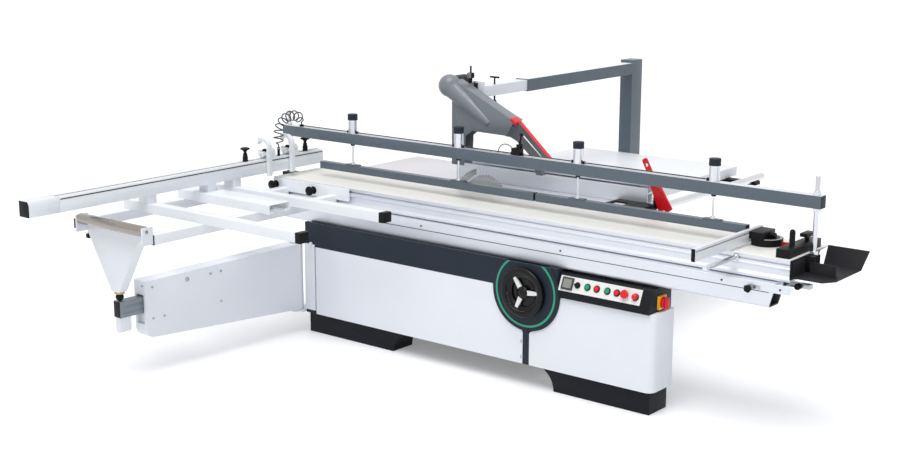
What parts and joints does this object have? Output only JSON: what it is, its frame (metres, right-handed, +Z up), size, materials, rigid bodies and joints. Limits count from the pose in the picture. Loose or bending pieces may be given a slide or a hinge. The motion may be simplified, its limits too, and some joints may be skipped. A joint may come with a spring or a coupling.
{
  "type": "sliding_table_saw",
  "caption": "Sliding table panel saw with crosscut frame, pneumatic hold-down beam, overhead blade guard, rip fence and scoring blade",
  "frame": {"origin": "on the floor, in the plane of the saw blade and half way along the sliding table", "axes": "X along the sliding table towards the operator, Y from the sliding table across the blade to the rip fence, Z up"},
  "size_m": [3.541, 3.787, 1.517],
  "materials": {
    "white_paint": "powder coat, fine texture",
    "white_alloy": "painted alloy extrusion",
    "dark_paint": "dark grey powder coat",
    "black_paint": "black powder coat",
    "blue_grey_paint": "blue-grey enamel",
    "green_paint": "green enamel",
    "aluminium": "anodised extrusion",
    "cast_iron": "ground table surface",
    "steel": "machined steel",
    "chrome": "hard chrome",
    "black_plastic": "moulded plastic",
    "hood_plastic": "grey moulded plastic",
    "red_plastic": "red moulded plastic",
    "green_plastic": "green moulded plastic",
    "rubber": "black rubber"
  },
  "bodies": {
    "base": {"plinth": "black_paint", "front_frame": "dark_paint", "left_panel": "white_paint", "right_panel": "white_paint", "wheel_ring": "green_paint", "control_box": "black_paint", "saw_body": "white_paint", "body_cover": "white_paint", "main_table": "cast_iron", "rear_table": "cast_iron", "side_table": "white_paint", "table_insert": "aluminium", "fixed_rail": "white_alloy", "fence_bar": "chrome", "guard_gantry": "blue_grey_paint", "arm_hinge": "white_paint"},
    "sliding_table": {"carriage": "aluminium", "end_plates": "black_paint", "clamp_posts": "chrome", "clamp_beam": "blue_grey_paint", "clamp_cylinders": "chrome", "air_hose": "rubber", "frame_tubes": "white_paint", "frame_knobs": "black_plastic", "support_bracket": "white_paint", "cross_fence": "aluminium", "push_handle": "chrome", "end_guard": "black_paint", "edge_shoe": "black_plastic"},
    "tilt_unit": {"tilt_cradle": "steel"},
    "lift_unit": {"lift_slide": "cast_iron", "motor": "blue_grey_paint", "riving_knife": "steel", "drive_belt": "rubber"},
    "arbor_unit": {"saw_arbor": "steel", "saw_blade": "steel"},
    "load_roller": {"load_roller": "chrome"},
    "clamp_pads": {"clamp_pads": "blue_grey_paint"},
    "flip_stop_outer": {"flip_stop_outer": "aluminium"},
    "flip_stop_inner": {"flip_stop_inner": "aluminium"},
    "fence_extension": {"fence_extension": "aluminium"},
    "mitre_fence": {"mitre_fence": "aluminium"},
    "swing_arm": {"swing_arm": "white_paint"},
    "telescopic_tube": {"telescopic_tube": "steel"},
    "rip_casting": {"rip_casting": "black_paint"},
    "rip_fence": {"rip_fence": "aluminium"},
    "push_stick": {"push_stick": "red_plastic"},
    "arm_slider": {"arm_slider": "white_paint"},
    "hood": {"hood": "hood_plastic"},
    "motor_pulley": {"motor_pulley": "steel"},
    "scoring_blade": {"scoring_blade": "steel"},
    "handwheel": {"handwheel": "black_plastic"},
    "start_saw": {"start_saw": "green_plastic"},
    "stop_saw": {"stop_saw": "red_plastic"},
    "start_scoring": {"start_scoring": "green_plastic"},
    "stop_scoring": {"stop_scoring": "red_plastic"},
    "emergency_stop": {"emergency_stop": "red_plastic"},
    "selector_knob": {"selector_knob": "black_plastic"},
    "isolator_knob": {"isolator_knob": "red_plastic"},
    "valve_lever": {"valve_lever": "black_plastic"}
  },
  "joints": [
    {"name": "carriage_slide", "type": "slide", "parent": "base", "child": "sliding_table", "axis": [1, 0, 0], "range_m": [-1.5, 1.5]},
    {"name": "roller_spin", "type": "hinge", "parent": "sliding_table", "child": "load_roller", "pos_m": [-1.3725, -1.735, 0.823], "axis": [1, 0, 0], "continuous": true},
    {"name": "clamp_stroke", "type": "slide", "parent": "sliding_table", "child": "clamp_pads", "axis": [0, 0, 1], "range_m": [-0.045, 0.004]},
    {"name": "outer_stop_flip", "type": "hinge", "parent": "sliding_table", "child": "flip_stop_outer", "pos_m": [-1.572, -0.517, 1.002], "axis": [0, -1, 0], "range_deg": [0, 90]},
    {"name": "inner_stop_flip", "type": "hinge", "parent": "sliding_table", "child": "flip_stop_inner", "pos_m": [-1.572, -0.337, 1.002], "axis": [0, -1, 0], "range_deg": [0, 90]},
    {"name": "fence_extend", "type": "slide", "parent": "sliding_table", "child": "fence_extension", "axis": [0, -1, 0], "range_m": [0, 0.6]},
    {"name": "mitre_swivel", "type": "hinge", "parent": "sliding_table", "child": "mitre_fence", "pos_m": [1.369, -0.165, 0.87], "axis": [0, 0, 1], "range_deg": [0, 30]},
    {"name": "arm_swing", "type": "hinge", "parent": "base", "child": "swing_arm", "pos_m": [-1.345, -0.507, 0.33], "axis": [0, 0, 1], "range_deg": [-54, 54]},
    {"name": "tube_extend", "type": "slide", "parent": "swing_arm", "child": "telescopic_tube", "axis": [-0.075, -0.9972, 0], "range_m": [0, 0.68]},
    {"name": "rip_slide", "type": "slide", "parent": "base", "child": "rip_casting", "axis": [0, 1, 0], "range_m": [-0.02, 1.15]},
    {"name": "rip_fence_slide", "type": "slide", "parent": "rip_casting", "child": "rip_fence", "axis": [1, 0, 0], "range_m": [-0.12, 0.3]},
    {"name": "stick_lift_off", "type": "slide", "parent": "rip_casting", "child": "push_stick", "axis": [0, -1, 0], "range_m": [0, 0.06]},
    {"name": "guard_reach", "type": "slide", "parent": "base", "child": "arm_slider", "axis": [0, 1, 0], "range_m": [0, 0.26]},
    {"name": "guard_height", "type": "slide", "parent": "arm_slider", "child": "hood", "axis": [0, 0, 1], "range_m": [-0.13, 0]},
    {"name": "blade_tilt", "type": "hinge", "parent": "base", "child": "tilt_unit", "pos_m": [-0.385, 0, 0.85], "axis": [-1, 0, 0], "range_deg": [0, 45]},
    {"name": "blade_lift", "type": "slide", "parent": "tilt_unit", "child": "lift_unit", "axis": [0, 0, 1], "range_m": [-0.095, 0]},
    {"name": "saw_spin", "type": "hinge", "parent": "lift_unit", "child": "arbor_unit", "pos_m": [-0.385, 0, 0.7875], "axis": [0, 1, 0], "continuous": true},
    {"name": "motor_spin", "type": "hinge", "parent": "lift_unit", "child": "motor_pulley", "pos_m": [-0.385, 0.15, 0.5205], "axis": [0, 1, 0], "continuous": true},
    {"name": "scoring_spin", "type": "hinge", "parent": "tilt_unit", "child": "scoring_blade", "pos_m": [-0.15, 0, 0.792], "axis": [0, 1, 0], "continuous": true},
    {"name": "wheel_turn", "type": "hinge", "parent": "base", "child": "handwheel", "pos_m": [0.24, -0.507, 0.497], "axis": [0, -1, 0], "range_deg": [0, 1440]},
    {"name": "start_saw_press", "type": "slide", "parent": "base", "child": "start_saw", "axis": [0, 0.9156, -0.402], "range_m": [0, 0.004], "stiffness_N_per_m": 400},
    {"name": "stop_saw_press", "type": "slide", "parent": "base", "child": "stop_saw", "axis": [0, 0.9156, -0.402], "range_m": [0, 0.004], "stiffness_N_per_m": 400},
    {"name": "start_scoring_press", "type": "slide", "parent": "base", "child": "start_scoring", "axis": [0, 0.9156, -0.402], "range_m": [0, 0.004], "stiffness_N_per_m": 400},
    {"name": "stop_scoring_press", "type": "slide", "parent": "base", "child": "stop_scoring", "axis": [0, 0.9156, -0.402], "range_m": [0, 0.004], "stiffness_N_per_m": 400},
    {"name": "emergency_press", "type": "slide", "parent": "base", "child": "emergency_stop", "axis": [0, 0.9156, -0.402], "range_m": [0, 0.005], "stiffness_N_per_m": 400},
    {"name": "selector_turn", "type": "hinge", "parent": "base", "child": "selector_knob", "pos_m": [0.54, -0.47034, 0.57592], "axis": [0, -0.9156, 0.402], "range_deg": [-45, 45]},
    {"name": "isolator_turn", "type": "hinge", "parent": "base", "child": "isolator_knob", "pos_m": [0.964, -0.385, 0.548], "axis": [1, 0, 0], "range_deg": [0, 90]},
    {"name": "valve_turn", "type": "hinge", "parent": "sliding_table", "child": "valve_lever", "pos_m": [-0.007, -0.213, 1.167], "axis": [0, 1, 0], "range_deg": [-35, 10]}
  ],
  "couplings": [
    {"joint": "arm_swing", "follows": "carriage_slide", "rad_per_m": 0.62},
    {"joint": "motor_spin", "follows": "saw_spin", "ratio": 0.66667},
    {"joint": "wheel_turn", "follows": "blade_tilt", "ratio": 32}
  ]
}
